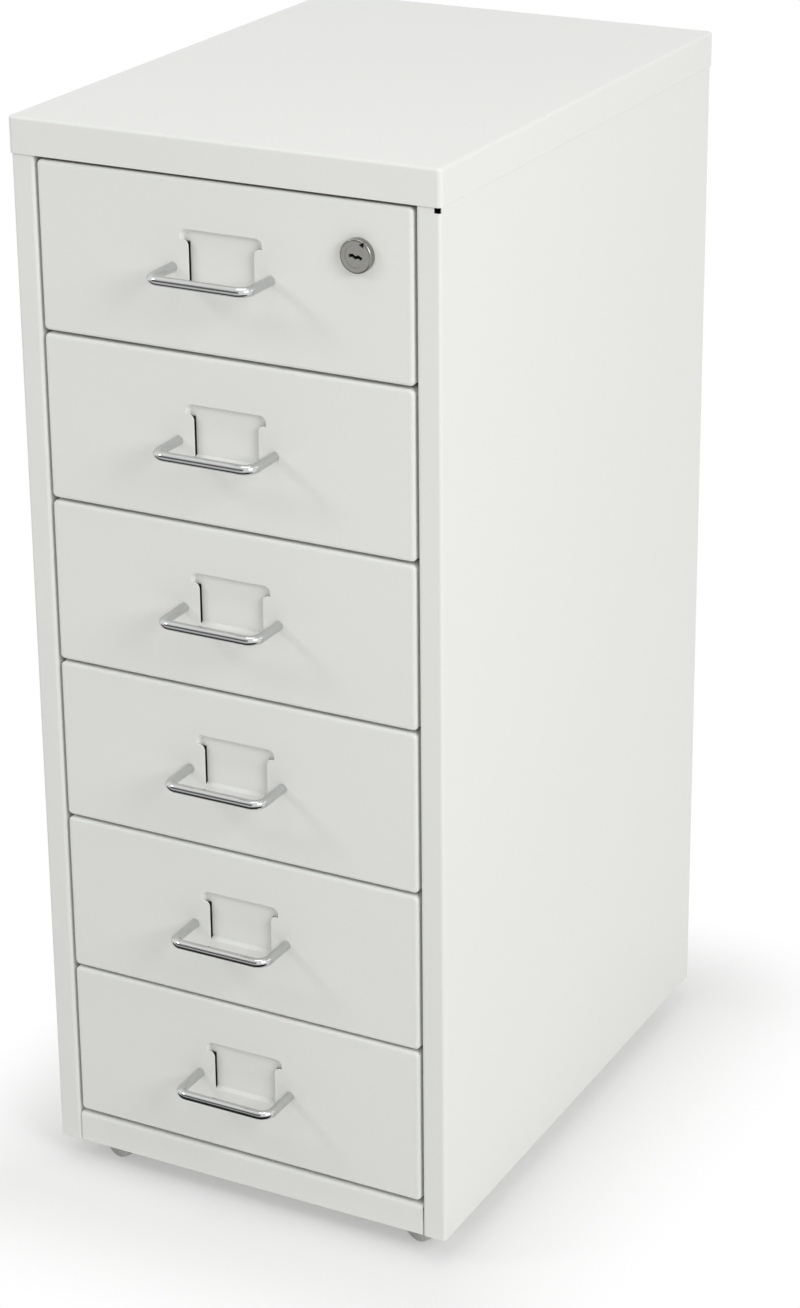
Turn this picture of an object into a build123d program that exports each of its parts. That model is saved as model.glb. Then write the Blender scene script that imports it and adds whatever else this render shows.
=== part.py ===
from build123d import *
import os

# Overall size: width across the cover, depth from the front of the handles to the back of the cover,
# and height from the floor to the top of the cover.
width = 280.0
depth = 410.0
height = 690.0

# Folded sheet-steel case.
case_sheet = 0.8
case_bend = 2.0
floor_gap = 17.0
cover_skirt = 22.0
cover_corner = 3.0
cover_play = 0.2
cover_hem = 11.0
hem_end_gap = 1.5
post_width = 15.0
post_return = 12.0
rear_flange = 15.0
top_flange = 12.0
top_flange_leg = 4.0
flange_end_gap = 2.0
notch_width = 4.0
notch_height = 3.5

# Base panel with its kick face between the posts.
kick_height = 20.5
kick_bend = 3.0
kick_setback = 0.6
kick_side_gap = 0.8
pan_flange = 15.0
back_flange = 10.0

# Drawers: six alike, each a folded front on a folded tray.
drawer_count = 6
drawer_sheet = 0.7
drawer_bend = 1.5
drawer_gap = 2.0
side_gap = 2.0
kick_gap = 3.0
front_fold = 12.0
front_edge = 2.0
front_corner = 3.0
box_side_gap = 9.0
box_rise = 7.0
box_height = 81.0
box_rear_gap = 12.0
box_lap = 4.5
hem_width = 6.0
hem_drop = 8.0

# Runners: channels on the side panels that the drawer hems slide in.
runner_sheet = 1.0
runner_bend = 1.5
runner_play = 0.3
runner_headroom = 1.0
runner_lip_gap = 1.0

# Wire handles and the screws that hold them.
handle_pitch = 64.0
handle_reach = 31.0
handle_wire = 6.0
handle_bend = 7.0
handle_drop = 1.5
screw_size = 4.0
screw_reach = 8.0
screw_head = 7.5
screw_head_height = 2.4
screw_play = 0.2
thread_play = 0.05

# Label holder pressed into each front: a pocket with a guide strip on either side.
label_width = 53.4
label_top = 23.3
label_bottom = 9.0
label_corner = 4.0
label_depth = 3.0
label_slope = 1.2
strip_width = 5.2
strip_top = 17.0
strip_corner = 3.5
strip_lap = 0.5

# Cam lock in the top drawer.
lock_inset = 33.5
lock_below_top = 30.5
bezel_size = 20.0
bezel_height = 4.5
bezel_round = 1.0
barrel_size = 17.0
barrel_length = 14.5
plug_size = 13.0
plug_play = 0.05
plug_recess = 0.3
keyway_length = 8.0
keyway_width = 1.8
keyway_depth = 6.0
keyway_step = 1.2
index_notch = 4.0
index_depth = 2.0
index_angle = 58.0
tail_size = 6.0
tail_length = 3.0
cam_sheet = 1.6
cam_width = 13.0
cam_reach = 36.0
cam_play = 0.1
lock_nut_size = 22.0
lock_nut_height = 3.0
cam_screw_head = 8.0
cam_screw_height = 2.2
cam_screw_size = 3.0
cam_screw_reach = 6.0

# Twin-wheel casters on shouldered stems.
stem_inset = 30.0
stem_size = 6.0
stem_fit = 0.08
stem_low = 18.5
stem_high = 6.5
collar_size = 11.0
collar_height = 1.2
collar_gap = 0.3
stem_nut_size = 10.0
stem_nut_height = 5.0
wheel_size = 30.0
wheel_width = 7.0
wheel_gap = 0.6
wheel_round = 1.5
wheel_dish = 10.0
wheel_dish_depth = 0.6
hub_size = 8.0
caster_trail = 5.5
caster_turn = -24.0
web_width = 9.0
web_size = 22.0
fender_gap = 0.8
fender_sheet = 1.3
fender_low = 5.0
boss_size = 14.0
axle_size = 3.0
axle_fit = 0.06
axle_cap = 1.6

# Planes and sizes that follow from the values above.
y_back = depth / 2
y_face = -depth / 2 + handle_reach
cover_lap = case_sheet + cover_play
cover_front = y_face - cover_lap
cover_low = height - cover_skirt
case_half = width / 2 - cover_lap
case_back = y_back - cover_lap
case_top = height - case_sheet
wall_inside = case_half - case_sheet
back_inside = case_back - case_sheet
opening_half = case_half - post_width
pan_top = floor_gap + kick_height
pan_low = pan_top - case_sheet
pan_front = y_face + post_return + flange_end_gap
front_low = pan_top + kick_gap
front_space = cover_low - front_low - drawer_count * drawer_gap
front_height = front_space / drawer_count
front_width = 2 * (opening_half - side_gap)
lock_side = front_width / 2 - lock_inset
drawer_pitch = front_height + drawer_gap
handle_z = front_height / 2 - handle_drop
box_front = y_face + drawer_sheet
box_back = back_inside - case_sheet - box_rear_gap
box_half = opening_half - box_side_gap
box_top = box_rise + box_height
hem_half = box_half + hem_width


def upright(y):
    """Plane across the cabinet at depth y: its own x runs along X and its own y along Z."""
    return Plane.XZ.offset(-y)


def save(part, name):
    part.label = name
    export_step(part, f"parts/{name}.step")


os.makedirs("parts", exist_ok=True)

# Top cover: a deep tray turned upside down, with a return hem behind its front skirt.
with BuildPart() as top_cover:
    with BuildSketch(Plane.XY.offset(cover_low)):
        with Locations((0, (cover_front + y_back) / 2)):
            RectangleRounded(width, y_back - cover_front, cover_corner)
    extrude(amount=cover_skirt)
    fillet(top_cover.faces().sort_by(Axis.Z)[-1].edges(), case_bend)
    offset(amount=-case_sheet, openings=top_cover.faces().sort_by(Axis.Z)[0])
    with BuildSketch(Plane.XY.offset(cover_low)):
        with Locations((0, cover_front + cover_hem / 2 + case_sheet / 2)):
            Rectangle(2 * (opening_half - hem_end_gap), cover_hem - case_sheet)
    extrude(amount=case_sheet)
save(top_cover.part, "top_cover")

# Side panel: post, post return and rear flange are folded from one sheet, with a flange at the top.
# Below the base panel the post return is cut away to leave the casters room.
flange_front = y_face + post_return + flange_end_gap
flange_rear = back_inside - back_flange - flange_end_gap
with BuildPart() as side_fold:
    with BuildSketch(Plane.XY.offset(floor_gap)):
        with BuildLine():
            FilletPolyline(
                (opening_half, y_face + post_return),
                (opening_half, y_face),
                (case_half, y_face),
                (case_half, case_back),
                (case_half - rear_flange, case_back),
                radius=case_bend,
            )
            offset(amount=case_sheet, side=Side.LEFT)
        make_face()
    extrude(amount=case_top - case_bend - floor_gap)
    with BuildSketch(upright(flange_front)):
        with BuildLine():
            FilletPolyline(
                (case_half, case_top - top_flange_leg),
                (case_half, case_top),
                (case_half - top_flange, case_top),
                radius=case_bend - case_sheet,
            )
            offset(amount=case_sheet, side=Side.LEFT)
        make_face()
    extrude(amount=flange_front - flange_rear)
    with BuildSketch(Plane.XY.offset(floor_gap)):
        with Locations((opening_half, y_face + case_bend)):
            Rectangle(2 * case_bend, post_return, align=(Align.CENTER, Align.MIN))
    extrude(amount=kick_height, mode=Mode.SUBTRACT)

with BuildPart() as left_side_panel:
    mirror(side_fold.part, about=Plane.YZ)
save(left_side_panel.part, "left_side_panel")

# The right panel has a small catch notch in the corner of its post, just under the cover.
with BuildPart() as right_side_panel:
    add(side_fold.part)
    with BuildSketch(Plane.XY.offset(cover_low - notch_height)):
        with Locations((case_half, y_face)):
            Rectangle(2 * notch_width, 2 * case_bend)
    extrude(amount=notch_height + cover_play, mode=Mode.SUBTRACT)
save(right_side_panel.part, "right_side_panel")

# Back panel: a sheet inside the rear flanges, folded forward at the top and the bottom.
back_half = wall_inside - case_bend
with BuildPart() as back_panel:
    with BuildSketch(Plane.YZ.offset(-back_half)):
        with BuildLine():
            FilletPolyline(
                (back_inside - back_flange, pan_top),
                (back_inside, pan_top),
                (back_inside, case_top),
                (back_inside - back_flange, case_top),
                radius=case_bend,
            )
            offset(amount=case_sheet, side=Side.LEFT)
        make_face()
    extrude(amount=2 * back_half)
save(back_panel.part, "back_panel")

# Base panel: a pan between the side panels whose front folds down as the kick face.
kick_half = opening_half - kick_side_gap
pan_rear = case_back - case_bend
stem_x = case_half - stem_inset
stem_front = y_face + stem_inset
stem_rear = case_back - stem_inset
stem_places = [(side * stem_x, y) for y in (stem_front, stem_rear) for side in (-1, 1)]
with BuildPart() as base_panel:
    with BuildSketch(upright(pan_front)):
        with BuildLine():
            FilletPolyline(
                (-wall_inside, pan_low + pan_flange),
                (-wall_inside, pan_low),
                (wall_inside, pan_low),
                (wall_inside, pan_low + pan_flange),
                radius=case_bend,
            )
            offset(amount=case_sheet, side=Side.LEFT)
        make_face()
    extrude(amount=pan_front - pan_rear)
    with BuildSketch(Plane.YZ.offset(-kick_half)):
        with BuildLine():
            FilletPolyline(
                (y_face + kick_setback, floor_gap),
                (y_face + kick_setback, pan_top),
                (pan_front + kick_bend, pan_top),
                radius=kick_bend,
            )
            offset(amount=case_sheet, side=Side.RIGHT)
        make_face()
    extrude(amount=2 * kick_half)
    with BuildSketch(Plane.XY.offset(pan_low)):
        with Locations(*stem_places):
            Circle(stem_size / 2 + screw_play)
    extrude(amount=case_sheet, mode=Mode.SUBTRACT)
save(base_panel.part, "base_panel")

# Drawer front: a shallow pan with rounded edges, and the label holder pressed into it.
label_z = handle_z + (label_top - label_bottom) / 2
label_height = label_top + label_bottom
pocket_floor = y_face + label_depth
with BuildPart() as drawer_front:
    with BuildSketch(upright(y_face)):
        with Locations((0, front_height / 2)):
            RectangleRounded(front_width, front_height, front_corner)
    extrude(amount=-front_fold)
    fillet(drawer_front.faces().sort_by(Axis.Y)[0].edges(), front_edge)
    offset(amount=-drawer_sheet, openings=drawer_front.faces().sort_by(Axis.Y)[-1])
    # The pressed pocket: a tapered dish behind the face, opened from the front.
    with BuildSketch(upright(y_face + drawer_sheet / 2)):
        with Locations((0, label_z)):
            RectangleRounded(label_width + 2 * drawer_sheet, label_height + 2 * drawer_sheet, label_corner)
    with BuildSketch(upright(pocket_floor + drawer_sheet)):
        with Locations((0, label_z)):
            RectangleRounded(
                label_width - 2 * label_slope + 2 * drawer_sheet,
                label_height - 2 * label_slope + 2 * drawer_sheet,
                label_corner,
            )
    loft()
    with BuildSketch(upright(y_face)):
        with Locations((0, label_z)):
            RectangleRounded(label_width, label_height, label_corner)
    with BuildSketch(upright(pocket_floor)):
        with Locations((0, label_z)):
            RectangleRounded(label_width - 2 * label_slope, label_height - 2 * label_slope, label_corner)
    loft(mode=Mode.SUBTRACT)
    # Guide strips stay level with the face on either side of the pocket.
    with BuildSketch(upright(y_face)) as strips:
        with Locations((0, handle_z - label_bottom - strip_lap)):
            with GridLocations(label_width - strip_width + strip_lap, 0, 2, 1):
                Rectangle(
                    strip_width + strip_lap,
                    strip_top + label_bottom + strip_lap,
                    align=(Align.CENTER, Align.MIN),
                )
        strip_tops = strips.vertices().group_by(Axis.Y)[-1]
        fillet(strip_tops.sort_by(lambda corner: abs(corner.X))[0:2], strip_corner)
    extrude(amount=-drawer_sheet)
    with BuildSketch(upright(y_face)):
        with Locations((0, handle_z)):
            with GridLocations(handle_pitch, 0, 2, 1):
                Circle(screw_size / 2 + screw_play)
    extrude(amount=-drawer_sheet, mode=Mode.SUBTRACT)

# The top drawer's front is the same piece with a hole for the lock.
lock_z = front_height - lock_below_top
with BuildPart() as locked_front:
    add(drawer_front.part)
    with BuildSketch(upright(y_face)):
        with Locations((lock_side, lock_z)):
            Circle(barrel_size / 2 + screw_play)
    extrude(amount=-drawer_sheet, mode=Mode.SUBTRACT)

# Drawer box: two sides with outward hems, a flat bottom between them and a rear wall, welded edge to edge.
box_inside = box_half - drawer_sheet
with BuildPart() as box_sides:
    with BuildSketch(upright(box_front)):
        with BuildLine():
            FilletPolyline(
                (-hem_half, box_top - hem_drop),
                (-hem_half, box_top),
                (-box_half, box_top),
                (-box_half, box_rise),
                radius=drawer_bend,
            )
            offset(amount=drawer_sheet, side=Side.LEFT)
        make_face()
        mirror(about=Plane.YZ)
    extrude(amount=box_front - box_back)
    with BuildSketch(upright(box_front)):
        with Locations((0, box_top - hem_drop)):
            with GridLocations(2 * hem_half, 0, 2, 1):
                Rectangle(2 * hem_width, 2 * hem_drop, align=(Align.CENTER, Align.MIN))
    extrude(amount=-(front_fold + flange_end_gap), mode=Mode.SUBTRACT)
    # The sides' front ends are turned outwards and lie against the drawer front.
    with BuildSketch(upright(box_front)):
        with Locations((0, box_rise)):
            with GridLocations(2 * box_half + box_lap - drawer_sheet, 0, 2, 1):
                Rectangle(box_lap + drawer_sheet, box_height - 2 * hem_drop, align=(Align.CENTER, Align.MIN))
    extrude(amount=-drawer_sheet)

with BuildPart() as box_bottom:
    with BuildSketch(Plane.XY.offset(box_rise)):
        with Locations((0, box_front)):
            Rectangle(2 * box_inside, box_back - box_front, align=(Align.CENTER, Align.MIN))
    extrude(amount=drawer_sheet)

with BuildPart() as box_rear:
    with BuildSketch(upright(box_back - drawer_sheet)):
        with Locations((0, box_rise + drawer_sheet)):
            Rectangle(2 * box_inside, box_height - drawer_sheet, align=(Align.CENTER, Align.MIN))
    extrude(amount=-drawer_sheet)

box_sheets = box_sides.part.solids() + box_bottom.part.solids() + box_rear.part.solids()

# Handle: a bent chrome wire whose legs butt against the front and are tapped for the screws.
bar_y = y_face - handle_reach + handle_wire / 2
handle_half = handle_pitch / 2
with BuildPart() as drawer_handle:
    with BuildLine() as wire:
        FilletPolyline(
            (-handle_half, y_face, handle_z),
            (-handle_half, bar_y, handle_z),
            (handle_half, bar_y, handle_z),
            (handle_half, y_face, handle_z),
            radius=handle_bend,
        )
    with BuildSketch(Plane(origin=wire.line @ 0, z_dir=wire.line % 0)):
        Circle(handle_wire / 2)
    sweep()
    with BuildSketch(upright(y_face)):
        with Locations((0, handle_z)):
            with GridLocations(handle_pitch, 0, 2, 1):
                Circle(screw_size / 2 + thread_play)
    extrude(amount=screw_reach + thread_play, mode=Mode.SUBTRACT)

with BuildPart() as handle_screws:
    with BuildSketch(upright(box_front)):
        with Locations((0, handle_z)):
            with GridLocations(handle_pitch, 0, 2, 1):
                Circle(screw_head / 2)
    extrude(amount=-screw_head_height)
    with BuildSketch(upright(box_front)):
        with Locations((0, handle_z)):
            with GridLocations(handle_pitch, 0, 2, 1):
                Circle(screw_size / 2)
    extrude(amount=drawer_sheet + screw_reach)

# Runners: a pair of channels for each drawer, open towards it, with the hem resting on the lower lip.
runner_front = pan_front
runner_rear = back_inside - case_sheet - flange_end_gap
runner_low = box_top - hem_drop - runner_play - runner_sheet
runner_high = box_top + drawer_sheet + runner_headroom + runner_sheet
with BuildPart() as drawer_runners:
    with BuildSketch(upright(runner_front)):
        with BuildLine():
            FilletPolyline(
                (box_half + runner_lip_gap, runner_low),
                (wall_inside, runner_low),
                (wall_inside, runner_high),
                (box_half + runner_lip_gap, runner_high),
                radius=runner_bend,
            )
            offset(amount=runner_sheet, side=Side.LEFT)
        make_face()
        mirror(about=Plane.YZ)
    extrude(amount=runner_front - runner_rear)

drawer_pieces = {
    "box": Compound(box_sheets),
    "handle": drawer_handle.part,
    "handle_screws": handle_screws.part,
    "runners": drawer_runners.part,
}
for number in range(1, drawer_count + 1):
    lift = Location((0, 0, front_low + (drawer_count - number) * drawer_pitch))
    front = locked_front.part if number == 1 else drawer_front.part
    save(front.moved(lift), f"drawer_{number}_front")
    for name, piece in drawer_pieces.items():
        save(piece.moved(lift), f"drawer_{number}_{name}")

# Lock: barrel with its bezel, plug with keyway and square tail, nut, cam and the cam's screw.
lock_height = cover_low - drawer_gap - lock_below_top
bezel_front = y_face - bezel_height
barrel_end = y_face + barrel_length
cam_front = barrel_end + plug_play
lock_axis = Axis((lock_side, y_face, lock_height), (0, 1, 0))
lock_section = Plane(origin=(lock_side, 0, lock_height), x_dir=(1, 0, 0), z_dir=(0, 0, 1))


def lock_plane(y):
    """Plane across the lock's axis at depth y, with its origin on the axis."""
    return Plane(origin=(lock_side, y, lock_height), x_dir=(1, 0, 0), z_dir=(0, -1, 0))


with BuildPart() as lock_barrel:
    with BuildSketch(lock_section):
        with BuildLine():
            Polyline(
                (plug_size / 2 + plug_play, bezel_front),
                (bezel_size / 2, bezel_front),
                (bezel_size / 2, y_face),
                (barrel_size / 2, y_face),
                (barrel_size / 2, barrel_end),
                (plug_size / 2 + plug_play, barrel_end),
                close=True,
            )
        make_face()
    revolve(axis=lock_axis)
    bezel_rim = lock_barrel.edges().filter_by(GeomType.CIRCLE).group_by(Axis.Y)[0].sort_by(SortBy.RADIUS)[-1]
    fillet(bezel_rim, bezel_round)
    # An index notch in the bezel's rim, between twelve and three o'clock.
    with BuildSketch(lock_plane(bezel_front)):
        with PolarLocations((plug_size + bezel_size) / 4, 1, start_angle=index_angle):
            RegularPolygon(index_notch / 2, 3)
    extrude(amount=-index_depth, mode=Mode.SUBTRACT)
save(lock_barrel.part, "lock_barrel")

with BuildPart() as lock_plug:
    with BuildSketch(lock_plane(bezel_front + plug_recess)):
        Circle(plug_size / 2)
    extrude(amount=-(barrel_end - bezel_front - plug_recess))
    with BuildSketch(lock_plane(barrel_end)):
        Rectangle(tail_size, tail_size)
    extrude(amount=-tail_length)
    with BuildSketch(lock_plane(bezel_front + plug_recess)):
        with BuildLine():
            Polyline(
                (-keyway_length / 2, 0),
                (-keyway_length / 4, keyway_step / 2),
                (0, -keyway_step / 2),
                (keyway_length / 4, 0),
                (keyway_length / 2, -keyway_step),
            )
        trace(line_width=keyway_width)
    extrude(amount=-keyway_depth, mode=Mode.SUBTRACT)
    with BuildSketch(lock_plane(barrel_end + tail_length)):
        Circle(cam_screw_size / 2 + thread_play)
    extrude(amount=cam_screw_reach, mode=Mode.SUBTRACT)
save(lock_plug.part, "lock_plug")

with BuildPart() as lock_nut:
    with BuildSketch(lock_plane(y_face + drawer_sheet)):
        RegularPolygon(lock_nut_size / 2, 6, major_radius=False)
        Circle(barrel_size / 2 + thread_play, mode=Mode.SUBTRACT)
    extrude(amount=-lock_nut_height)
save(lock_nut.part, "lock_nut")

with BuildPart() as lock_cam:
    with BuildSketch(lock_plane(cam_front)):
        with Locations((-(cam_reach - cam_width / 2) / 2, 0)):
            SlotOverall(cam_reach + cam_width / 2, cam_width)
        Rectangle(tail_size + 2 * cam_play, tail_size + 2 * cam_play, mode=Mode.SUBTRACT)
    extrude(amount=-cam_sheet)
save(lock_cam.part, "lock_cam")

with BuildPart() as cam_screw:
    with BuildSketch(lock_plane(barrel_end + tail_length)):
        Circle(cam_screw_head / 2)
    extrude(amount=-cam_screw_height)
    with BuildSketch(lock_plane(barrel_end + tail_length)):
        Circle(cam_screw_size / 2)
    extrude(amount=cam_screw_reach - thread_play)
save(cam_screw.part, "cam_screw")

# Caster stems: shouldered pins through the base panel, each held by a nut inside the case.
collar_low = pan_low - collar_height
with BuildPart() as caster_stems:
    with BuildSketch(Plane.XY.offset(stem_low)):
        with Locations(*stem_places):
            Circle(stem_size / 2)
    extrude(amount=pan_top + stem_high - stem_low)
    with BuildSketch(Plane.XY.offset(collar_low)):
        with Locations(*stem_places):
            Circle(collar_size / 2)
    extrude(amount=collar_height)
save(caster_stems.part, "caster_stems")

with BuildPart() as caster_nuts:
    with BuildSketch(Plane.XY.offset(pan_top)):
        with Locations(*stem_places):
            RegularPolygon(stem_nut_size / 2, 6, major_radius=False)
            Circle(stem_size / 2 + thread_play, mode=Mode.SUBTRACT)
    extrude(amount=stem_nut_height)
save(caster_nuts.part, "caster_nuts")

# One caster about its own stem at the origin: the wheels trail along X and turn about Y.
axle_z = wheel_size / 2
well_radius = axle_z + fender_gap
fender_radius = well_radius + fender_sheet
hood_half = web_width / 2 + wheel_gap + wheel_width
hood_top = collar_low - collar_gap
hub_depth = wheel_width - axle_cap
with BuildPart() as caster_hood:
    with BuildSketch(upright(-hood_half)):
        with Locations((caster_trail, axle_z)):
            Circle(fender_radius)
        with Locations((caster_trail, axle_z + fender_low)):
            Rectangle(
                2 * fender_radius,
                2 * fender_radius,
                align=(Align.CENTER, Align.MAX),
                mode=Mode.SUBTRACT,
            )
    extrude(amount=-2 * hood_half)
    with BuildSketch(Plane.XY.offset(axle_z + fender_low)):
        Circle(boss_size / 2)
    extrude(amount=hood_top - axle_z - fender_low)
    # A well for each wheel leaves the web between them.
    for side in (-1, 1):
        with BuildSketch(upright(side * web_width / 2)):
            with Locations((caster_trail, axle_z)):
                Circle(well_radius)
        extrude(amount=-side * hood_half, mode=Mode.SUBTRACT)
    with BuildSketch(upright(-web_width / 2)):
        with Locations((caster_trail, axle_z)):
            Circle(web_size / 2)
    extrude(amount=-web_width)
    with BuildSketch(Plane.XY.offset(stem_low - collar_gap)):
        Circle(stem_size / 2 + stem_fit)
    extrude(amount=hood_top - stem_low + collar_gap, mode=Mode.SUBTRACT)
    with BuildSketch(upright(-web_width / 2)):
        with Locations((caster_trail, axle_z)):
            Circle(axle_size / 2 + axle_fit / 2)
    extrude(amount=-web_width, mode=Mode.SUBTRACT)

with BuildPart() as outer_wheel:
    with BuildSketch(Plane((caster_trail, web_width / 2 + wheel_gap, axle_z))):
        with BuildLine():
            Polyline(
                (axle_size / 2 + axle_fit, 0),
                (wheel_size / 2, 0),
                (wheel_size / 2, wheel_width),
                (0, wheel_width),
                (0, hub_depth),
                (axle_size / 2 + axle_fit, hub_depth),
                close=True,
            )
        make_face()
    revolve(axis=Axis((caster_trail, 0, axle_z), (0, 1, 0)))
    fillet(outer_wheel.edges().filter_by(GeomType.CIRCLE).group_by(SortBy.RADIUS)[-1], wheel_round)
    with BuildSketch(upright(hood_half)):
        with Locations((caster_trail, axle_z)):
            Circle(wheel_dish)
            Circle(hub_size / 2, mode=Mode.SUBTRACT)
    extrude(amount=wheel_dish_depth, mode=Mode.SUBTRACT)

with BuildPart() as inner_wheel:
    mirror(outer_wheel.part, about=Plane.XZ)

axle_half = hood_half - axle_cap - collar_gap
with BuildPart() as caster_axle:
    with BuildSketch(upright(-axle_half)):
        with Locations((caster_trail, axle_z)):
            Circle(axle_size / 2)
    extrude(amount=-2 * axle_half)

caster_pieces = {
    "hood": caster_hood.part,
    "axle": caster_axle.part,
    "front_wheel": inner_wheel.part,
    "rear_wheel": outer_wheel.part,
}
caster_names = ("front_left", "front_right", "rear_left", "rear_right")
for place_name, (x, y) in zip(caster_names, stem_places):
    place = Location((x, y, 0), (0, 0, caster_turn))
    for name, piece in caster_pieces.items():
        save(piece.moved(place), f"caster_{place_name}_{name}")
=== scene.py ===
"""Finishes, smooth pieces and a stage for a steel drawer cabinet on casters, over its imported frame."""

import math

import bmesh
import bpy
import numpy as np
from bpy.props import FloatProperty, FloatVectorProperty, PointerProperty
from mathutils import Matrix, Vector


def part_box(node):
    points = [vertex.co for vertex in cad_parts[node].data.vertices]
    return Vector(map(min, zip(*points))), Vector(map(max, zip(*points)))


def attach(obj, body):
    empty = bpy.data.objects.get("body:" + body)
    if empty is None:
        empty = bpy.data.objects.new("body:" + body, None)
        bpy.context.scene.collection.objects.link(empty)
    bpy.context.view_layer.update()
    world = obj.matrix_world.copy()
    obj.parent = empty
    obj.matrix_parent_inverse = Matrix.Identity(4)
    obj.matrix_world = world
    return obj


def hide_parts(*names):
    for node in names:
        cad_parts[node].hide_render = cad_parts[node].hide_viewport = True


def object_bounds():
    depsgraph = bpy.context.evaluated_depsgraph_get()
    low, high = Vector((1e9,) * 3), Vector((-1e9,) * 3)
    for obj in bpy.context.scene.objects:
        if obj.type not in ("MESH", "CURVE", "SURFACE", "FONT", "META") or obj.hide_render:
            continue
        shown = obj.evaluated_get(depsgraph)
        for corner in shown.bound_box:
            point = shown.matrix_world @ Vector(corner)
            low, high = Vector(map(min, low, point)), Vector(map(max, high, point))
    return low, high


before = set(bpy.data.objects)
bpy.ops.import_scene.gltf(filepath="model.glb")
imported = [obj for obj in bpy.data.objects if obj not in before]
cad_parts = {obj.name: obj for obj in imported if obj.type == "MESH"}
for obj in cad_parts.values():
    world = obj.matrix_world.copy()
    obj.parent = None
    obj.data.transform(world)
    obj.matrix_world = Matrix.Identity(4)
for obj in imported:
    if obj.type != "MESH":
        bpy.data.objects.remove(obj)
cad_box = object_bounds()

bl_info = {
    "name": "Drawer Cabinet Finish",
    "version": (1, 0, 0),
    "blender": (4, 5, 0),
    "location": "View3D > Sidebar > Cabinet",
    "description": "Coats, plates and stages a steel cabinet with six drawers",
    "category": "Object",
}

# Points round a handle's wire and along its bends and half its bar, round a wheel and along its shoulder,
# and round the floor and out from its middle.
WIRE_POINTS, BEND_STEPS, BAR_STEPS = 40, 17, 11
WHEEL_POINTS, SHOULDER_STEPS = 64, 9
FLOOR_POINTS, FLOOR_RINGS = 96, 24
# Points nearer than this are one, and faces that meet at more than this angle keep a sharp edge.
MERGE_DISTANCE = 1e-7
SHARP_ANGLE = math.radians(40.0)
# Bands in metres: where a pattern starts, is full, starts to fade and has gone.
# The painted shade in the slits behind the label strips lies at this distance from the middle, from the
# handle and from the face.
SLIT_ACROSS = (0.0213, 0.0218, 0.0268, 0.0275)
SLIT_UP = (-0.0100, -0.0090, 0.0150, 0.0164)
SLIT_DEEP = (0.0003, 0.0007, 0.0034, 0.0036)
# The painted shade in the seam under the cover is measured from the top front's upper edge, its face and its
# side edges.
SEAM_UP = (-0.0009, -0.0002, 0.0030, 0.0036)
SEAM_DEEP = (0.0008, 0.0022, 0.0120, 0.0140)
SEAM_END = (0.0010, 0.0016)
# Hands touch an ellipse round each handle, of this half width and half height.
HANDLED_HALF = (0.055, 0.030)
# Painted shade lies below the lock's face, inside the bezel and deeper inside the plug, and darkens the rim:
# radii and depths.
RECESS_SHADE_START = (0.0007, 0.0012)
BEZEL_RADIUS = (0.0093, 0.0098)
BEZEL_DEEP = (0.0040, 0.0045)
PLUG_RADIUS = (0.0050, 0.0056)
PLUG_DEEP = (0.0120, 0.0130)
RIM_RADIUS = (0.0085, 0.0092)
# The floor's shadow is lightened by this share under the cabinet and has gone at this distance from it.
SHADOW_FILL = 0.35
SHADOW_END = 0.12
FLOOR_RADIUS = 14.0
# Place and size of each softbox, all turned to the same point in the cabinet.
SOFTBOX_TARGET = (0.0, 0.0, 0.35)
SIDE_SOFTBOX = ((2.0, -1.1, 1.6), 1.0)
TOP_SOFTBOX = ((0.1, -0.3, 2.4), 1.2)
FRONT_SOFTBOX = ((-1.6, -1.3, 1.7), 0.5)
# The flag: its ends across, where it starts and meets its wall, the wall's height and the cloth's level.
FLAG_ACROSS = (-4.0, 0.6)
FLAG_NEAR, FLAG_WALL = -0.2, -2.6
FLAG_LEVEL, FLAG_TOP = 0.002, 2.6
FLAG_WHITE = (0.35, 1.3)
FLAG_BELT = (0.1, 0.5, 1.1, 2.2)

DRAWERS = range(1, 7)
CASTERS = ("front_left", "front_right", "rear_left", "rear_right")
handle_low, handle_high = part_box("drawer_1_handle")
front_low, front_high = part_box("drawer_1_front")
lower_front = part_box("drawer_2_front")
wheel_low, wheel_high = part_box("caster_front_left_front_wheel")
lock_low, lock_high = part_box("lock_barrel")


def linear(red, green, blue):
    """Scene-linear colour of a screen colour given from 0 to 255."""
    screen = np.array([red, green, blue]) / 255.0
    return tuple(np.where(screen <= 0.04045, screen / 12.92, ((screen + 0.055) / 1.055) ** 2.4).tolist())


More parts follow.
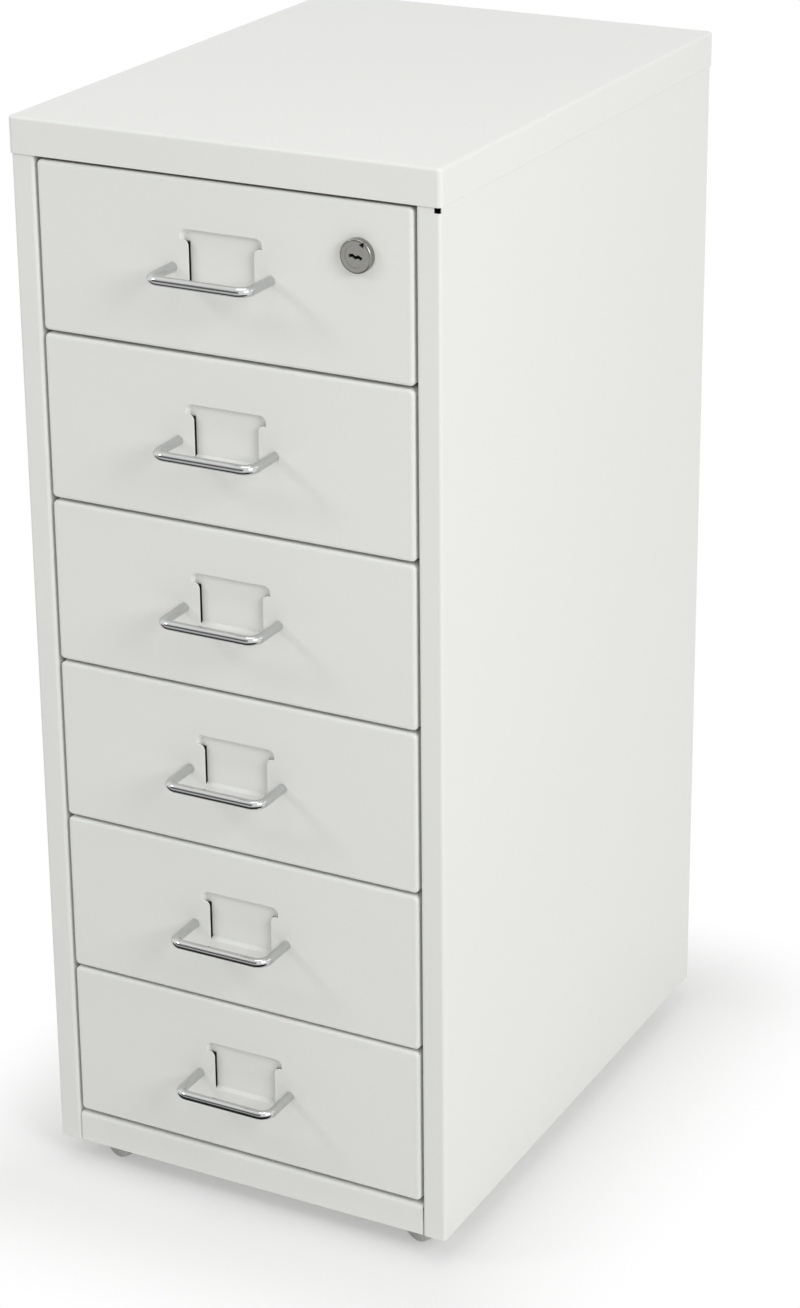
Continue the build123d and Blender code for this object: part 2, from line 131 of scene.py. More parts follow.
class CabinetSizes(bpy.types.PropertyGroup):
    """Sizes of the pieces that are shaped here; the handle wire's default is read from the frame and the
    others are given.
    """

    handle_wire: FloatProperty(
        name="Handle wire",
        description="Thickness of the wire that a handle is bent from",
        default=handle_high.z - handle_low.z,
        unit="LENGTH",
    )
    handle_bend: FloatProperty(
        name="Handle bend",
        description="Radius of a handle's two bends at the middle of the wire",
        default=0.007,
        unit="LENGTH",
    )
    handle_bore: FloatProperty(
        name="Handle bore",
        description="Diameter of the tapped hole in the end of a handle's leg",
        default=0.0041,
        unit="LENGTH",
    )
    handle_bore_depth: FloatProperty(
        name="Handle bore depth",
        description="Depth of the tapped hole in the end of a handle's leg",
        default=0.00805,
        unit="LENGTH",
    )
    wheel_width: FloatProperty(
        name="Wheel width",
        description="Width of one caster wheel along its axle",
        default=0.007,
        unit="LENGTH",
    )
    wheel_shoulder: FloatProperty(
        name="Wheel shoulder",
        description="Radius of the round between a wheel's tread and its faces",
        default=0.0015,
        unit="LENGTH",
    )
    wheel_dish: FloatProperty(
        name="Wheel dish",
        description="Radius of the shallow dish in a wheel's outer face",
        default=0.010,
        unit="LENGTH",
    )
    wheel_hub: FloatProperty(
        name="Wheel hub",
        description="Radius of the hub that stands in the dish",
        default=0.004,
        unit="LENGTH",
    )
    wheel_dish_depth: FloatProperty(
        name="Dish depth",
        description="Depth of the dish below a wheel's outer face",
        default=0.0006,
        unit="LENGTH",
    )
    wheel_bore: FloatProperty(
        name="Wheel bore",
        description="Radius of the blind hole that a wheel turns on",
        default=0.00156,
        unit="LENGTH",
    )
    wheel_bore_depth: FloatProperty(
        name="Wheel bore depth",
        description="Depth of the blind hole from a wheel's inner face",
        default=0.0054,
        unit="LENGTH",
    )
    edge_round: FloatProperty(
        name="Edge round",
        description="How far the coat rounds off the edges of the sheet",
        default=0.0006,
        unit="LENGTH",
    )
    front_round: FloatProperty(
        name="Front round",
        description="How far the pressing rounds off the outer edges of a drawer front",
        default=0.004,
        unit="LENGTH",
    )


class CabinetColours(bpy.types.PropertyGroup):
    """Colours of the cabinet's finishes."""

    coat: FloatVectorProperty(
        name="Powder coat",
        description="Colour of the coat on the case and the drawers",
        default=linear(237, 238, 234),
        subtype="COLOR",
    )
    chrome: FloatVectorProperty(
        name="Chrome",
        description="Reflected colour of the plated handles",
        default=linear(205, 206, 206),
        subtype="COLOR",
    )
    nickel: FloatVectorProperty(
        name="Nickel",
        description="Reflected colour of the lock",
        default=linear(186, 185, 179),
        subtype="COLOR",
    )
    zinc: FloatVectorProperty(
        name="Zinc",
        description="Reflected colour of the screws, nuts, stems and axles",
        default=linear(192, 195, 198),
        subtype="COLOR",
    )
    hood: FloatVectorProperty(
        name="Caster hood",
        description="Colour of the moulded caster hoods",
        default=linear(226, 226, 222),
        subtype="COLOR",
    )
    wheel: FloatVectorProperty(
        name="Caster wheel",
        description="Colour of the moulded caster wheels",
        default=linear(200, 201, 199),
        subtype="COLOR",
    )
    floor: FloatVectorProperty(
        name="Floor",
        description="Colour of the floor round the cabinet",
        default=linear(246, 246, 245),
        subtype="COLOR",
    )


class CabinetStage(bpy.types.PropertyGroup):
    """Where the camera stands and how bright the lamps are."""

    camera_place: FloatVectorProperty(
        name="Camera place",
        description="Where the camera stands",
        default=(0.9292, -1.7219, 1.1456),
        subtype="TRANSLATION",
        unit="LENGTH",
    )
    camera_azimuth: FloatProperty(
        name="Camera azimuth",
        description="How far the camera stands round to the right of the front",
        default=math.radians(27.816),
        subtype="ANGLE",
    )
    camera_elevation: FloatProperty(
        name="Camera elevation",
        description="How steeply the camera looks down",
        default=math.radians(20.781),
        subtype="ANGLE",
    )
    camera_roll: FloatProperty(
        name="Camera roll",
        description="How far the camera is turned about its own line of sight",
        default=math.radians(-0.537),
        subtype="ANGLE",
    )
    camera_lens: FloatProperty(
        name="Camera lens",
        description="Focal length in millimetres on a sensor 36 mm tall",
        default=91.37,
    )
    camera_shift: FloatProperty(
        name="Camera shift",
        description="How far the frame is shifted up, as a share of its height",
        default=-0.1,
    )
    ambient: FloatProperty(
        name="Ambient",
        description="Strength of the even light from all round",
        default=0.5,
    )
    side_power: FloatProperty(
        name="Side softbox",
        description="Power of the softbox on the cabinet's right",
        default=25.0,
        unit="POWER",
    )
    top_power: FloatProperty(
        name="Top softbox",
        description="Power of the softbox above the cabinet",
        default=6.5,
        unit="POWER",
    )
    front_power: FloatProperty(
        name="Front softbox",
        description="Power of the softbox at the front left",
        default=7.0,
        unit="POWER",
    )


class Value:
    """A socket of a node tree. Arithmetic on it adds Math nodes to that tree."""

    def __init__(self, nodes, socket):
        self.nodes = nodes
        self.socket = socket

    def other(self, name):
        """Another output of the same node."""
        return Value(self.nodes, self.socket.node.outputs[name])

    def maths(self, operation, first, second):
        return self.nodes.add("ShaderNodeMath", {"operation": operation}, {0: first, 1: second})

    def __add__(self, other):
        return self.maths("ADD", self, other)

    def __radd__(self, other):
        return self.maths("ADD", other, self)

    def __sub__(self, other):
        return self.maths("SUBTRACT", self, other)

    def __rsub__(self, other):
        return self.maths("SUBTRACT", other, self)

    def __mul__(self, other):
        return self.maths("MULTIPLY", self, other)

    def __rmul__(self, other):
        return self.maths("MULTIPLY", other, self)

    def __truediv__(self, other):
        return self.maths("DIVIDE", self, other)

    def __pow__(self, other):
        return self.maths("POWER", self, other)

    def __mod__(self, other):
        return self.maths("FLOORED_MODULO", self, other)

    def __abs__(self):
        return self.nodes.add("ShaderNodeMath", {"operation": "ABSOLUTE"}, {0: self})


class Nodes:
    """A node tree with the one method that adds a node to it, and the textures that the finishes share."""

    def __init__(self, tree):
        self.tree = tree

    def add(self, kind, settings=None, sockets=None, output=0):
        """Adds a node with its settings, then the values or links of its sockets, and gives one output."""
        node = self.tree.nodes.new(kind)
        for name, setting in (settings or {}).items():
            setattr(node, name, setting)
        for name, value in (sockets or {}).items():
            if isinstance(value, Value):
                self.tree.links.new(value.socket, node.inputs[name])
            else:
                node.inputs[name].default_value = value
        return Value(self, node.outputs[output]) if node.outputs else node

    def place(self):
        """Object coordinates, which are the frame's own metres on every piece."""
        return self.add("ShaderNodeTexCoord", output="Object")

    def axes(self, vector):
        """The three parts of a vector."""
        parts = self.add("ShaderNodeSeparateXYZ", None, {0: vector})
        return parts, parts.other("Y"), parts.other("Z")

    def noise(self, place, scale, detail=2.0):
        """Smooth noise from 0 to 1, with this many features a metre."""
        return self.add("ShaderNodeTexNoise", None, {"Vector": place, "Scale": scale, "Detail": detail})

    def step(self, value, low, high):
        """0 up to low, 1 from high, and smooth between them."""
        ends = {"Value": value, "From Min": low, "From Max": high}
        return self.add("ShaderNodeMapRange", {"interpolation_type": "SMOOTHSTEP"}, ends)

    def band(self, value, start, full, fade, end):
        """1 from full to fade, 0 outside start and end, and smooth between them."""
        return self.step(value, start, full) * (1.0 - self.step(value, fade, end))

    def larger(self, first, second):
        """The larger of two values."""
        return self.add("ShaderNodeMath", {"operation": "MAXIMUM"}, {0: first, 1: second})

    def blend(self, share, first, second):
        """One colour turning into another as share goes from 0 to 1."""
        return self.add("ShaderNodeMix", {"data_type": "RGBA"}, {0: share, 6: first, 7: second}, 2)

    def seen(self):
        """1 where the camera, a mirror or a glass looks, and 0 where light is only scattered."""
        ray = self.add("ShaderNodeLightPath", output="Is Camera Ray")
        return self.step(ray + ray.other("Is Glossy Ray") + ray.other("Is Transmission Ray"), 0.0, 1.0)

    def bump(self, height, depth, normal=None):
        """A normal that is tilted by a height map of this depth in metres."""
        sockets = {"Strength": 1.0, "Distance": depth, "Height": height}
        if normal:
            sockets["Normal"] = normal
        return self.add("ShaderNodeBump", None, sockets)


class Finish(Nodes):
    """A material with one Principled shader. Even values go on its sockets, patterns are linked to them."""

    def __init__(self, name, even):
        self.material = bpy.data.materials.new(name)
        self.material.use_nodes = True
        super().__init__(self.material.node_tree)
        self.shader = self.tree.nodes["Principled BSDF"]
        for socket, value in even.items():
            self.shader.inputs[socket].default_value = value

    def drive(self, patterns):
        """Links each pattern to the shader's socket of that name."""
        for socket, value in patterns.items():
            self.tree.links.new(value.socket, self.shader.inputs[socket])
        return self.material


class FrontFinish(Finish):
    """A finish for the drawer fronts, whose outer edges are rounded more broadly than the rest."""

    def soften_border(self, across, up, rounded, radius):
        """Normals rounded by a wider radius within twice that radius of a front's four edges."""
        broad = self.add("ShaderNodeBevel", {"samples": 8}, {"Radius": radius})
        pitch = front_low.z - lower_front[0].z
        from_low = (up - front_low.z) % pitch
        tall = front_high.z - front_low.z
        near, clear = 1.4 * radius, 1.8 * radius
        beside = self.step(abs(across), front_high.x - clear, front_high.x - near)
        below = 1.0 - self.step(from_low, near, clear)
        above = self.step(from_low, tall - clear, tall - near)
        border = self.step(beside + below + above, 0.0, 1.0)
        return self.add("ShaderNodeMix", {"data_type": "VECTOR"}, {0: border, 4: rounded, 5: broad}, 1)


def opaque(colour, shade=1.0):
    """A colour with alpha, lightened or darkened by a factor."""
    return (*(channel * shade for channel in colour), 1.0)


def powder_coat(name, colour, edge_round, border_round=None):
    """Fine powder coat: a soft orange peel, glossier edges whose colour is lightened as a painted highlight,
    and faint marks of hands.
    The marks lie round each handle: the height is taken modulo the drawers' pitch, so one patch repeats.
    Painted shade, near black, fills the slits behind the label strips and, except on the fronts, the seam
    under the cover."""
    even = {"IOR": 1.5, "Coat Roughness": 0.16}
    finish = FrontFinish(name, even) if border_round else Finish(name, even)
    place = finish.place()
    across, away, up = finish.axes(place)
    rounded = finish.add("ShaderNodeBevel", {"samples": 6}, {"Radius": edge_round})
    if border_round:
        rounded = finish.soften_border(across, up, rounded, border_round)
    flat = finish.add("ShaderNodeNewGeometry", output="Normal")
    product = {"operation": "DOT_PRODUCT"}
    facing = finish.add("ShaderNodeVectorMath", product, {0: rounded, 1: flat}, "Value")
    edge = finish.step(1.0 - facing, 0.004, 0.10)
    clouds = finish.noise(place, 7.0, 3.0)
    peel = finish.noise(place, 520.0, 1.0)
    grain = finish.noise(place, 2600.0, 2.0)
    pitch = front_low.z - lower_front[0].z
    handle_rise = (handle_low.z + handle_high.z) / 2 - front_low.z
    in_drawer = (up - front_low.z) % pitch - handle_rise
    wide, tall = across / HANDLED_HALF[0], in_drawer / HANDLED_HALF[1]
    reach = (wide * wide + tall * tall) ** 0.5
    handled = (1.0 - finish.step(reach, 0.35, 1.0)) * finish.step(finish.noise(place, 60.0, 3.0), 0.4, 0.7)
    shaded = finish.blend(clouds, opaque(colour, 0.975), opaque(colour, 1.0))
    # Painted highlight: the edges are lightened above the coat's own colour.
    edge_highlight = finish.blend(edge, shaded, opaque(colour, 1.16))
    depth = away - front_low.y
    # Painted shade: near black in the slits behind the label strips and, except on the fronts, in the seam
    # under the cover.
    on_strip = finish.band(abs(across), *SLIT_ACROSS) * finish.band(in_drawer, *SLIT_UP)
    slit = on_strip * finish.band(depth, *SLIT_DEEP)
    in_opening = 1.0 - finish.step(abs(across) - front_high.x, *SEAM_END)
    seam = finish.band(up - front_high.z, *SEAM_UP) * finish.band(depth, *SEAM_DEEP) * in_opening
    painted_gap_shade = slit if border_round else finish.step(slit + seam, 0.0, 1.0)
    return finish.drive(
        {
            "Base Color": finish.blend(painted_gap_shade, edge_highlight, (0.015, 0.015, 0.015, 1.0)),
            "Roughness": 0.40 + 0.10 * clouds + 0.05 * grain - 0.18 * edge - 0.06 * handled,
            "Coat Weight": 0.25 + 0.6 * edge,
            "Normal": finish.bump(0.75 * peel + 0.25 * grain, 0.00003, rounded),
        }
    )


def chrome_plate(name, colour):
    """Bright chrome on drawn wire: polishing lines along the wire on its own map, and faint finger haze."""
    finish = Finish(name, {"Metallic": 1.0})
    along = finish.add("ShaderNodeUVMap", {"uv_map": "wire"})
    lines = finish.add("ShaderNodeMapping", None, {"Vector": along, "Scale": (6.0, 90.0, 1.0)})
    drawn = finish.noise(lines, 1.0, 3.0)
    haze = finish.step(finish.noise(finish.place(), 90.0, 3.0), 0.45, 0.75)
    return finish.drive(
        {
            "Base Color": finish.blend(haze, opaque(colour), opaque(colour, 0.95)),
            "Roughness": 0.05 + 0.05 * drawn + 0.06 * haze,
            "Normal": finish.bump(drawn, 0.0000005),
        }
    )


def turned_nickel(name, colour, axis):
    """Nickel on a turned lock: fine rings about the lock's axis, from the distance to it, and dull tarnish.
    The rim is darkened by painted shade, and the keyway, the plug's gap and the index notch are filled with
    near-black painted shade, also rough and not metallic."""
    finish = Finish(name, {})
    place = finish.place()
    across, away, up = finish.axes(place)
    radius = ((across - axis[0]) * (across - axis[0]) + (up - axis[2]) * (up - axis[2])) ** 0.5
    fine = {"W": radius, "Scale": 3800.0, "Detail": 3.0}
    rings = finish.add("ShaderNodeTexNoise", {"noise_dimensions": "1D"}, fine)
    tarnish = finish.noise(place, 240.0, 4.0)
    depth = away - lock_low.y
    in_bezel = (1.0 - finish.step(radius, *BEZEL_RADIUS)) * (1.0 - finish.step(depth, *BEZEL_DEEP))
    in_plug = (1.0 - finish.step(radius, *PLUG_RADIUS)) * (1.0 - finish.step(depth, *PLUG_DEEP))
    # Painted shade: near black below the face inside the bezel and the plug.
    recess_shade = finish.step(depth, *RECESS_SHADE_START) * finish.step(in_bezel + in_plug, 0.2, 0.8)
    # Painted shade: the rim is darkened.
    rim = finish.step(radius, *RIM_RADIUS) * 0.5
    metal = finish.blend(tarnish, opaque(colour, 0.86), opaque(colour, 1.06))
    rim_shaded = finish.blend(rim, metal, opaque(colour, 0.30))
    return finish.drive(
        {
            "Base Color": finish.blend(recess_shade, rim_shaded, (0.006, 0.006, 0.006, 1.0)),
            "Metallic": 1.0 - recess_shade,
            "Roughness": 0.17 + 0.14 * rings + 0.08 * tarnish + 0.4 * recess_shade,
            "Normal": finish.bump(rings, 0.00001),
        }
    )


def zinc_plate(name, colour):
    """Zinc on steel: small crystals of slightly different tone, with a satin grain."""
    finish = Finish(name, {"Metallic": 1.0})
    place = finish.place()
    crystals = finish.add("ShaderNodeTexVoronoi", None, {"Vector": place, "Scale": 420.0}, "Color")
    tone, _, _ = finish.axes(crystals)
    grain = finish.noise(place, 1800.0, 3.0)
    return finish.drive(
        {
            "Base Color": finish.blend(tone, opaque(colour, 0.80), opaque(colour, 1.05)),
            "Roughness": 0.30 + 0.14 * tone + 0.10 * grain,
            "Normal": finish.bump(grain, 0.00002),
        }
    )


def moulded_plastic(name, colour, roughness, scuff):
    """Moulded plastic: a spark-eroded grain, slow colour clouds, and dull scuffs of the given strength."""
    glow = {"Subsurface Weight": 0.08, "Subsurface Radius": (0.002, 0.002, 0.0018)}
    finish = Finish(name, {"IOR": 1.49, **glow})
    place = finish.place()
    grain = finish.noise(place, 2400.0, 2.0)
    clouds = finish.noise(place, 60.0, 3.0)
    marks = finish.step(finish.noise(place, 380.0, 4.0), 0.52, 0.72) * scuff
    return finish.drive(
        {
            "Base Color": finish.blend(0.5 * clouds + marks, opaque(colour), opaque(colour, 0.86)),
            "Roughness": roughness + 0.08 * grain + 0.15 * marks,
            "Normal": finish.bump(grain, 0.000015),
        }
    )


def dress(names, material):
    """Gives these nodes of the frame one finish."""
    for name in names:
        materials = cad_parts[name].data.materials
        materials.clear()
        materials.append(material)


def add_surface(name, grid, along, uv_name, material):
    """Object from a grid of points whose columns go round and close on themselves.
    Each cell is a face. The map's u is along, one value a row, and its v is the share of the way round.
    Rows that shrink to a point are merged into a pole, and the faces are then turned outwards."""
    rows, columns, _ = grid.shape
    corner = np.arange(rows * columns).reshape(rows, columns)
    onward = np.roll(corner, -1, axis=1)
    faces = np.stack([corner[:-1], onward[:-1], onward[1:], corner[1:]], axis=-1).reshape(-1, 4)
    u = np.broadcast_to(along[:, None], (rows, columns))
    v = np.broadcast_to(np.arange(columns) / columns, (rows, columns))
    turned = v + 1.0 / columns
    across = np.stack([u[:-1], u[:-1], u[1:], u[1:]], axis=-1)
    round_about = np.stack([v[:-1], turned[:-1], turned[1:], v[1:]], axis=-1)
    mesh = bpy.data.meshes.new(name)
    mesh.from_pydata(grid.reshape(-1, 3).tolist(), [], faces.tolist())
    layer = mesh.uv_layers.new(name=uv_name)
    layer.data.foreach_set("uv", np.stack([across, round_about], axis=-1).astype(np.float32).ravel())
    work = bmesh.new()
    work.from_mesh(mesh)
    bmesh.ops.remove_doubles(work, verts=work.verts, dist=MERGE_DISTANCE)
    bmesh.ops.recalc_face_normals(work, faces=work.faces)
    work.to_mesh(mesh)
    work.free()
    mesh.shade_smooth()
    mesh.set_sharp_from_angle(angle=SHARP_ANGLE)
    mesh.materials.append(material)
    piece = bpy.data.objects.new(name, mesh)
    bpy.context.scene.collection.objects.link(piece)
    return piece


def arc(start, end, steps):
    """Angles from start to end, both included."""
    return np.linspace(start, end, steps)


def bent_wire(half, leg, sizes):
    """Grid of a handle: a circle carried along two legs, two quarter bends and a bar, in plan.
    Each ring is centre + radius * (cos t * side + sin t * up), where side is square to the path's heading.
    At each leg's end the ring turns in to a blind bore: the radius drops to the bore's, then to nothing."""
    bend = sizes.handle_bend
    radius = sizes.handle_wire / 2
    bore = sizes.handle_bore / 2
    chamfer = radius / 12
    turn = arc(0.0, math.pi / 2, BEND_STEPS)
    end_depth = np.array([sizes.handle_bore_depth, sizes.handle_bore_depth, 0.0, 0.0, chamfer])
    end_radius = np.array([0.0, bore, bore, radius - chamfer, radius])
    bend_x = -half + bend - bend * np.cos(turn)
    bend_y = -(leg - bend) - bend * np.sin(turn)
    bar_x = np.linspace(-half + bend, 0.0, BAR_STEPS + 1)[1:]
    left_x = np.concatenate([np.full_like(end_radius, -half), bend_x, bar_x])
    left_y = np.concatenate([-end_depth, bend_y, np.full_like(bar_x, -leg)])
    left_heading = np.concatenate([np.zeros_like(end_radius), turn, np.full_like(bar_x, math.pi / 2)])
    left_radius = np.concatenate([end_radius, np.full(BEND_STEPS + BAR_STEPS, radius)])
    x = np.concatenate([left_x, -left_x[-2::-1]])
    y = np.concatenate([left_y, left_y[-2::-1]])
    heading = np.concatenate([left_heading, math.pi - left_heading[-2::-1]])
    thick = np.concatenate([left_radius, left_radius[-2::-1]])
    side = np.stack([np.cos(heading), np.sin(heading), np.zeros_like(heading)], axis=-1)
    centre = np.stack([x, y, np.zeros_like(x)], axis=-1)
    t = np.arange(WIRE_POINTS) / WIRE_POINTS * 2 * math.pi
    up = np.array([0.0, 0.0, 1.0])
    ring = np.cos(t)[None, :, None] * side[:, None, :] + np.sin(t)[None, :, None] * up
    along = np.concatenate([[0.0], np.cumsum(np.hypot(np.diff(x), np.diff(y)))])
    return centre[:, None, :] + thick[:, None, None] * ring, along / along[-1]


def turned_wheel(centre, outward, radius, sizes):
    """Grid of a wheel: a profile of radius against distance along the axle, turned about the axle.
    The profile starts at the bottom of the blind bore, goes round the tread and ends at the hub."""
    width, shoulder = sizes.wheel_width, sizes.wheel_shoulder
    quarter = arc(0.0, math.pi / 2, SHOULDER_STEPS)
    dish, hub, depth = sizes.wheel_dish, sizes.wheel_hub, sizes.wheel_dish_depth
    bend_radius = radius - shoulder + shoulder * np.sin(quarter)
    inner_bend = np.stack([bend_radius, shoulder - shoulder * np.cos(quarter)], -1)
    outer_bend = inner_bend[::-1] * [1.0, -1.0] + [0.0, width]
    bore, end = sizes.wheel_bore, sizes.wheel_bore_depth
    hole = [[0.0, end], [bore, end], [bore, 0.0]]
    sunk = width - depth
    face = [[dish, width], [dish - depth, sunk], [hub + depth, sunk], [hub, width], [0.0, width]]
    profile = np.concatenate([hole, inner_bend, outer_bend, face])
    axle = np.array(outward)
    up = np.array([0.0, 0.0, 1.0])
    level = np.cross(axle, up)
    t = np.arange(WHEEL_POINTS) / WHEEL_POINTS * 2 * math.pi
    spoke = np.cos(t)[:, None] * level + np.sin(t)[:, None] * up
    place = np.array(centre) - axle * width / 2
    grid = place + profile[:, 1, None, None] * axle + profile[:, 0, None, None] * spoke
    along = np.concatenate([[0.0], np.cumsum(np.linalg.norm(np.diff(profile, axis=0), axis=1))])
    return grid, along / along[-1]


class CABINET_OT_coat_case(bpy.types.Operator):
    """Powder-coats the cover, the panels and the runners inside"""

    bl_idname = "cabinet.coat_case"
    bl_label = "Coat Case"

    def execute(self, context):
        sizes, colours = context.scene.cabinet_sizes, context.scene.cabinet_colours
        coat = powder_coat("case_powder_coat", colours.coat, sizes.edge_round)
        panels = ["top_cover", "left_side_panel", "right_side_panel", "back_panel", "base_panel"]
        dress(panels + [f"drawer_{number}_runners" for number in DRAWERS], coat)
        return {"FINISHED"}


class CABINET_OT_coat_drawers(bpy.types.Operator):
    """Powder-coats the drawer fronts and boxes"""

    bl_idname = "cabinet.coat_drawers"
    bl_label = "Coat Drawers"

    def execute(self, context):
        sizes, colours = context.scene.cabinet_sizes, context.scene.cabinet_colours
        front_coat = powder_coat("front_powder_coat", colours.coat, sizes.edge_round, sizes.front_round)
        dress([f"drawer_{number}_front" for number in DRAWERS], front_coat)
        box_coat = powder_coat("box_powder_coat", colours.coat, sizes.edge_round)
        dress([f"drawer_{number}_box" for number in DRAWERS], box_coat)
        return {"FINISHED"}


class CABINET_OT_bend_handles(bpy.types.Operator):
    """Bends a chromed wire handle for each drawer"""

    bl_idname = "cabinet.bend_handles"
    bl_label = "Bend Handles"

    def execute(self, context):
        sizes, colours = context.scene.cabinet_sizes, context.scene.cabinet_colours
        chrome = chrome_plate("handle_chrome", colours.chrome)
        for number in DRAWERS:
            node = f"drawer_{number}_handle"
            low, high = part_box(node)
            radius = sizes.handle_wire / 2
            grid, along = bent_wire((high.x - low.x) / 2 - radius, high.y - low.y - radius, sizes)
            seat = np.array([(low.x + high.x) / 2, high.y, (low.z + high.z) / 2])
            piece = add_surface(f"wire_handle_{number}", grid + seat, along, "wire", chrome)
            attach(piece, f"drawer_{number}")
            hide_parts(node)
        return {"FINISHED"}


class CABINET_OT_plate_lock(bpy.types.Operator):
    """Nickels the lock and zincs its nut, cam and screw"""

    bl_idname = "cabinet.plate_lock"
    bl_label = "Plate Lock"

    def execute(self, context):
        colours = context.scene.cabinet_colours
        axis = (lock_low + lock_high) / 2
        dress(["lock_barrel", "lock_plug"], turned_nickel("lock_nickel", colours.nickel, axis))
        dress(["lock_nut", "lock_cam", "cam_screw"], zinc_plate("lock_zinc", colours.zinc))
        return {"FINISHED"}


class CABINET_OT_turn_casters(bpy.types.Operator):
    """Turns the caster wheels and finishes the hoods and axles"""

    bl_idname = "cabinet.turn_casters"
    bl_label = "Turn Casters"

    def execute(self, context):
        sizes, colours = context.scene.cabinet_sizes, context.scene.cabinet_colours
        hood = moulded_plastic("hood_plastic", colours.hood, 0.34, 0.15)
        tyre = moulded_plastic("wheel_plastic", colours.wheel, 0.42, 0.6)
        dress([f"caster_{corner}_hood" for corner in CASTERS], hood)
        dress([f"caster_{corner}_axle" for corner in CASTERS], zinc_plate("axle_zinc", colours.zinc))
        radius = (wheel_high.z - wheel_low.z) / 2
        for corner in CASTERS:
            pair = [f"caster_{corner}_{side}_wheel" for side in ("front", "rear")]
            middles = [sum(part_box(node), Vector()) / 2 for node in pair]
            between = (middles[0] + middles[1]) / 2
            for node, middle in zip(pair, middles):
                grid, along = turned_wheel(middle, (middle - between).normalized(), radius, sizes)
                piece = add_surface(node.replace("caster", "turned"), grid, along, "profile", tyre)
                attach(piece, node)
                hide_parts(node)
        return {"FINISHED"}


class CABINET_OT_plate_fasteners(bpy.types.Operator):
    """Zincs the handle screws, the caster stems and their nuts"""

    bl_idname = "cabinet.plate_fasteners"
    bl_label = "Plate Fasteners"

    def execute(self, context):
        zinc = zinc_plate("fastener_zinc", context.scene.cabinet_colours.zinc)
        screws = [f"drawer_{number}_handle_screws" for number in DRAWERS]
        dress(["caster_stems", "caster_nuts"] + screws, zinc)
        return {"FINISHED"}


def aim(place, target):
    """Turn that points an object's -Z axis from a place at a target."""
    return (Vector(target) - Vector(place)).to_track_quat("-Z", "Y").to_matrix().to_4x4()


def softbox(name, place, size, power):
    """A square area lamp that faces the cabinet."""
    lamp = bpy.data.lights.new(name, "AREA")
    lamp.size = size
    lamp.energy = power
    stand = bpy.data.objects.new(name, lamp)
    stand.matrix_world = Matrix.Translation(place) @ aim(place, SOFTBOX_TARGET)
    bpy.context.scene.collection.objects.link(stand)


def pale_floor(colour):
    """A pale floor that keeps the cabinet's shadow and looks plain white away from it.
    The turn goes by the distance in plan from the cabinet's footprint: the root of the squares of the
    distances outside its width and its depth."""
    finish = Finish("floor_paint", {"Roughness": 0.9})
    place = finish.place()
    across, away, _ = finish.axes(place)
    speckle = finish.noise(place, 40.0, 3.0)
    finish.drive({"Base Color": finish.blend(speckle, opaque(colour, 0.995), opaque(colour))})
    white = finish.add("ShaderNodeEmission", None, {"Color": (1.0, 1.0, 1.0, 1.0), "Strength": 1.0})
    half = cad_box[1]
    beside = finish.larger(abs(across) - half[0], 0.0)
    before = finish.larger(abs(away) - half[1], 0.0)
    far = finish.step((beside * beside + before * before) ** 0.5, 0.0, SHADOW_END)
    whitened = (SHADOW_FILL + (1.0 - SHADOW_FILL) * far) * finish.seen()
    paint = Value(finish, finish.shader.outputs[0])
    mixed = finish.add("ShaderNodeMixShader", None, {0: whitened, 1: paint, 2: white})
    output = finish.tree.nodes["Material Output"]
    finish.tree.links.new(mixed.socket, output.inputs["Surface"])
    return finish.material


def floor_disc(radius):
    """Rings of points at growing distances from the origin, level with the ground."""
    t = np.arange(FLOOR_POINTS) / FLOOR_POINTS * 2 * math.pi
    distance = np.concatenate([[0.0], np.geomspace(0.3, radius, FLOOR_RINGS)])
    x = distance[:, None] * np.cos(t)
    y = distance[:, None] * np.sin(t)
    return np.stack([x, y, np.zeros_like(x)], axis=-1), distance / radius


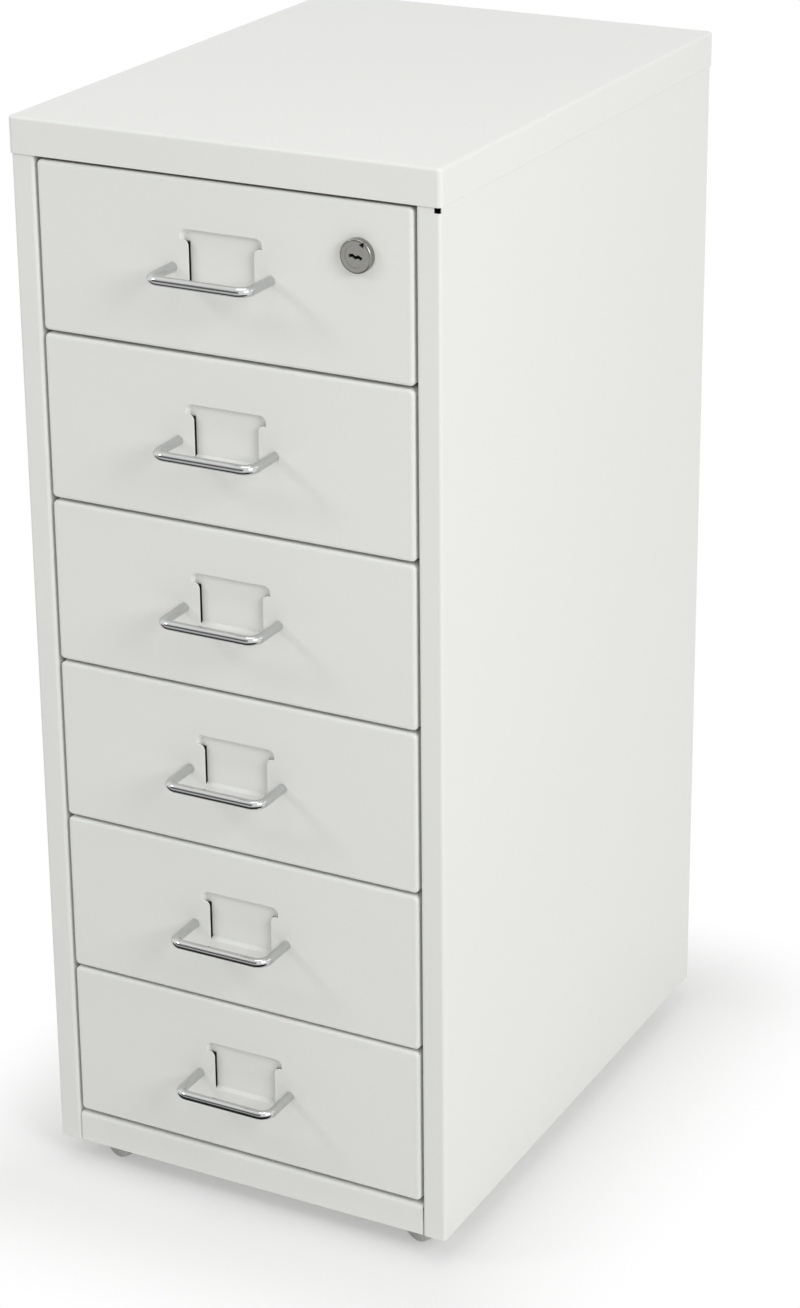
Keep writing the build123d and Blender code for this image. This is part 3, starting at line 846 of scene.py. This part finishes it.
class CABINET_OT_set_stage(bpy.types.Operator):
    """Lays the floor, hangs the softboxes and stands the camera"""

    bl_idname = "cabinet.set_stage"
    bl_label = "Set Stage"

    def execute(self, context):
        scene = context.scene
        stage, colours = scene.cabinet_stage, scene.cabinet_colours
        scene.view_settings.view_transform = "Standard"
        grid, along = floor_disc(FLOOR_RADIUS)
        floor = add_surface("floor", grid, along, "rings", pale_floor(colours.floor))
        softbox("side_softbox", *SIDE_SOFTBOX, stage.side_power)
        softbox("top_softbox", *TOP_SOFTBOX, stage.top_power)
        softbox("front_softbox", *FRONT_SOFTBOX, stage.front_power)
        self.lay_flag(scene)
        self.light_world(scene, stage.ambient)
        self.stand_camera(scene, stage)
        return {"FINISHED"}

    def lay_flag(self, scene):
        """A cloth on the floor before the drawers and up a wall far from them, which only metal mirrors.
        It is black near the drawers and white away, with a grey belt across the wall."""
        cloth = Finish("flag_cloth", {"Roughness": 1.0})
        _, away, up = cloth.axes(cloth.place())
        white = opaque(linear(250, 250, 250))
        ground = cloth.blend(cloth.step(0.0 - away, *FLAG_WHITE), opaque(linear(10, 10, 10)), white)
        belt = cloth.band(up, *FLAG_BELT)
        cloth.drive({"Base Color": cloth.blend(belt, ground, opaque(linear(118, 118, 118)))})
        mesh = bpy.data.meshes.new("flag")
        near = [(x, FLAG_NEAR, FLAG_LEVEL) for x in FLAG_ACROSS]
        foot = [(x, FLAG_WALL, FLAG_LEVEL) for x in FLAG_ACROSS]
        head = [(x, FLAG_WALL, FLAG_TOP) for x in FLAG_ACROSS]
        mesh.from_pydata(near + foot + head, [], [(0, 2, 3, 1), (2, 4, 5, 3)])
        mesh.materials.append(cloth.material)
        flag = bpy.data.objects.new("flag", mesh)
        flag.visible_camera = False
        flag.visible_diffuse = False
        flag.visible_shadow = False
        scene.collection.objects.link(flag)

    def light_world(self, scene, ambient):
        """Even grey light for the surfaces, and plain white where the camera or a mirror sees the sky."""
        world = bpy.data.worlds.new("studio")
        world.use_nodes = True
        scene.world = world
        nodes = Nodes(world.node_tree)
        strength = nodes.seen() * (1.0 - ambient) + ambient
        background = world.node_tree.nodes["Background"]
        background.inputs["Color"].default_value = (1.0, 1.0, 1.0, 1.0)
        world.node_tree.links.new(strength.socket, background.inputs["Strength"])

    def stand_camera(self, scene, stage):
        """The camera's axes from its azimuth, elevation and roll, as the columns of its matrix."""
        azimuth, elevation = stage.camera_azimuth, stage.camera_elevation
        back = Vector(
            (
                math.sin(azimuth) * math.cos(elevation),
                -math.cos(azimuth) * math.cos(elevation),
                math.sin(elevation),
            )
        )
        right = Vector((math.cos(azimuth), math.sin(azimuth), 0.0))
        up = back.cross(right)
        turn = Matrix((right, up, back)).transposed() @ Matrix.Rotation(stage.camera_roll, 3, "Z")
        data = bpy.data.cameras.new("camera")
        data.lens = stage.camera_lens
        data.sensor_width = 36.0
        data.shift_y = stage.camera_shift
        camera = bpy.data.objects.new("camera", data)
        camera.matrix_world = Matrix.Translation(stage.camera_place) @ turn.to_4x4()
        scene.collection.objects.link(camera)
        scene.camera = camera


class CABINET_PT_sidebar(bpy.types.Panel):
    """Lists the cabinet's pieces, sizes and colours"""

    bl_idname = "CABINET_PT_sidebar"
    bl_label = "Drawer Cabinet"
    bl_space_type = "VIEW_3D"
    bl_region_type = "UI"
    bl_category = "Cabinet"

    def draw(self, context):
        for operator in PIECES:
            self.layout.operator(operator.bl_idname)
        for group in (getattr(context.scene, name) for name in GROUPS):
            box = self.layout.box()
            for name in group.__annotations__:
                box.prop(group, name)


GROUPS = {"cabinet_sizes": CabinetSizes, "cabinet_colours": CabinetColours, "cabinet_stage": CabinetStage}
PIECES = (
    CABINET_OT_coat_case,
    CABINET_OT_coat_drawers,
    CABINET_OT_bend_handles,
    CABINET_OT_plate_lock,
    CABINET_OT_turn_casters,
    CABINET_OT_plate_fasteners,
    CABINET_OT_set_stage,
)


def register():
    for cls in (*GROUPS.values(), *PIECES, CABINET_PT_sidebar):
        bpy.utils.register_class(cls)
    for name, group in GROUPS.items():
        setattr(bpy.types.Scene, name, PointerProperty(type=group))


def unregister():
    for name in GROUPS:
        delattr(bpy.types.Scene, name)
    for cls in (CABINET_PT_sidebar, *reversed(PIECES), *reversed(GROUPS.values())):
        bpy.utils.unregister_class(cls)


def main():
    """Makes every piece in order."""
    register()
    bpy.ops.cabinet.coat_case()
    bpy.ops.cabinet.coat_drawers()
    bpy.ops.cabinet.bend_handles()
    bpy.ops.cabinet.plate_lock()
    bpy.ops.cabinet.turn_casters()
    bpy.ops.cabinet.plate_fasteners()
    bpy.ops.cabinet.set_stage()


if __name__ == "__main__":
    main()
